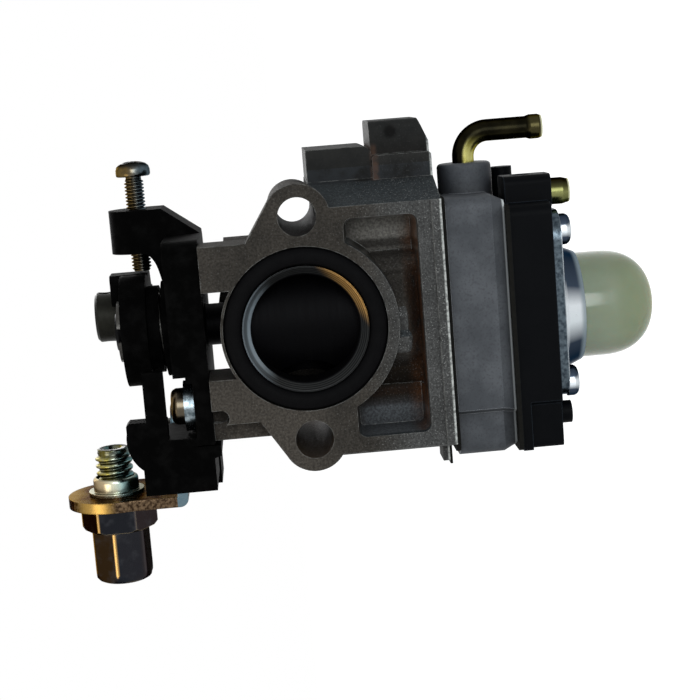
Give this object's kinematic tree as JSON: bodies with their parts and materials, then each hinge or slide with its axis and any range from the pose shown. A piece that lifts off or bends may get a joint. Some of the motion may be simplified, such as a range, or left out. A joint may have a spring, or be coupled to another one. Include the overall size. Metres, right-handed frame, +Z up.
{
  "type": "rotary barrel carburetor",
  "caption": "Diaphragm carburetor with a rotary throttle barrel, cable lever, fuel pump block and primer bulb.",
  "frame": {"origin": "centre of the throat on the air-cleaner flange face", "axes": "+Y runs into the carburetor along the throat, +Z runs up the throttle barrel to the cable lever, +X points to the idle screw's and fuel inlet's side"},
  "size_m": [0.067, 0.0317, 0.0889],
  "materials": {
    "casting": "die-cast, grainy, unmachined but for its faces",
    "pump_casting": "die-cast, smoother",
    "barrel_metal": "turned, dark with fuel film",
    "black_plastic": "glass-filled black moulding, matte",
    "plated_steel": "bright zinc plating",
    "dark_steel": "dull zinc",
    "spring_steel": "spring steel, plain",
    "olive_brass": "yellow passivated brass",
    "brass": "turned brass",
    "rubber": "fuel-proof black rubber",
    "gasket_paper": "dark fibre gasket",
    "bulb_polymer": "milky, slightly green translucent polymer"
  },
  "bodies": {
    "carburetor": {"carburetor_body": "casting", "passage_plug": "plated_steel", "flange_seal": "rubber", "barrel_cap": "plated_steel", "fuel_nozzle": "brass", "throttle_cover": "black_plastic", "cover_screws": "plated_steel", "cover_washers": "plated_steel", "return_spring": "spring_steel", "cable_bracket": "plated_steel", "bracket_screw": "plated_steel", "bracket_collar": "plated_steel", "pump_gasket": "gasket_paper", "pump_diaphragm": "rubber", "pump_body": "pump_casting", "inlet_elbow": "olive_brass", "inlet_screen": "spring_steel", "metering_pin": "plated_steel", "metering_spring": "spring_steel", "metering_gasket": "gasket_paper", "metering_diaphragm": "rubber", "purge_body": "black_plastic", "return_nipple": "olive_brass", "check_valve": "rubber", "bulb_retainer": "plated_steel", "stack_screws": "plated_steel"},
    "lift_washer": {"thrust_washer": "plated_steel"},
    "throttle": {"throttle_barrel": "barrel_metal", "throttle_lever": "black_plastic", "shaft_ring": "spring_steel"},
    "needle": {"fuel_needle": "plated_steel"},
    "swivel": {"cable_swivel": "dark_steel", "swivel_clip": "spring_steel"},
    "idle_screw": {"idle_speed_screw": "plated_steel"},
    "adjuster": {"cable_adjuster": "plated_steel"},
    "lock_nut": {"adjuster_nut": "plated_steel"},
    "button": {"diaphragm_button": "plated_steel"},
    "rocker": {"metering_lever": "spring_steel"},
    "valve": {"inlet_valve": "rubber"},
    "bulb": {"primer_bulb": "bulb_polymer"}
  },
  "joints": [
    {"name": "throttle_lift", "type": "slide", "parent": "carburetor", "child": "lift_washer", "axis": [0, 0, 1], "range_m": [0, 0.001]},
    {"name": "throttle_turn", "type": "hinge", "parent": "lift_washer", "child": "throttle", "pos_m": [0, 0.0135, 0], "axis": [0, 0, 1], "range_deg": [0, 76], "stiffness_Nm_per_rad": 0.02, "springref_deg": -34.38},
    {"name": "needle_adjust", "type": "hinge", "parent": "throttle", "child": "needle", "pos_m": [0, 0.0135, 0], "axis": [0, 0, 1], "continuous": true},
    {"name": "swivel_turn", "type": "hinge", "parent": "throttle", "child": "swivel", "pos_m": [0.00105, 0.024, 0.0283], "axis": [0, 0, 1], "range_deg": [-80, 80]},
    {"name": "idle_screw_turn", "type": "hinge", "parent": "carburetor", "child": "idle_screw", "pos_m": [0.015, 0.02, 0.023], "axis": [1, 0, 0], "continuous": true},
    {"name": "adjuster_turn", "type": "hinge", "parent": "carburetor", "child": "adjuster", "pos_m": [-0.03, 0.024, 0.0304], "axis": [1, 0, 0], "continuous": true},
    {"name": "lock_nut_turn", "type": "hinge", "parent": "carburetor", "child": "lock_nut", "pos_m": [-0.03, 0.024, 0.0304], "axis": [1, 0, 0], "continuous": true},
    {"name": "diaphragm_travel", "type": "slide", "parent": "carburetor", "child": "button", "axis": [0, 0, 1], "range_m": [0, 0.0005]},
    {"name": "metering_rock", "type": "hinge", "parent": "carburetor", "child": "rocker", "pos_m": [-0.0017, 0.0177, -0.0267], "axis": [-1, 0, 0], "range_deg": [0, 7], "deforming": ["metering_spring"]},
    {"name": "inlet_valve_slide", "type": "slide", "parent": "carburetor", "child": "valve", "axis": [0, 0, -1], "range_m": [0, 0.00032]},
    {"name": "bulb_press", "type": "slide", "parent": "carburetor", "child": "bulb", "axis": [0, 0, 1], "range_m": [0, 0.005], "stiffness_N_per_m": 400, "deforming": ["primer_bulb"]}
  ],
  "couplings": [
    {"joint": "throttle_turn", "follows": "throttle_lift", "rad_per_m": 1326.5},
    {"joint": "metering_rock", "follows": "diaphragm_travel", "rad_per_m": 238.1},
    {"joint": "inlet_valve_slide", "follows": "diaphragm_travel", "ratio": 0.61905}
  ]
}
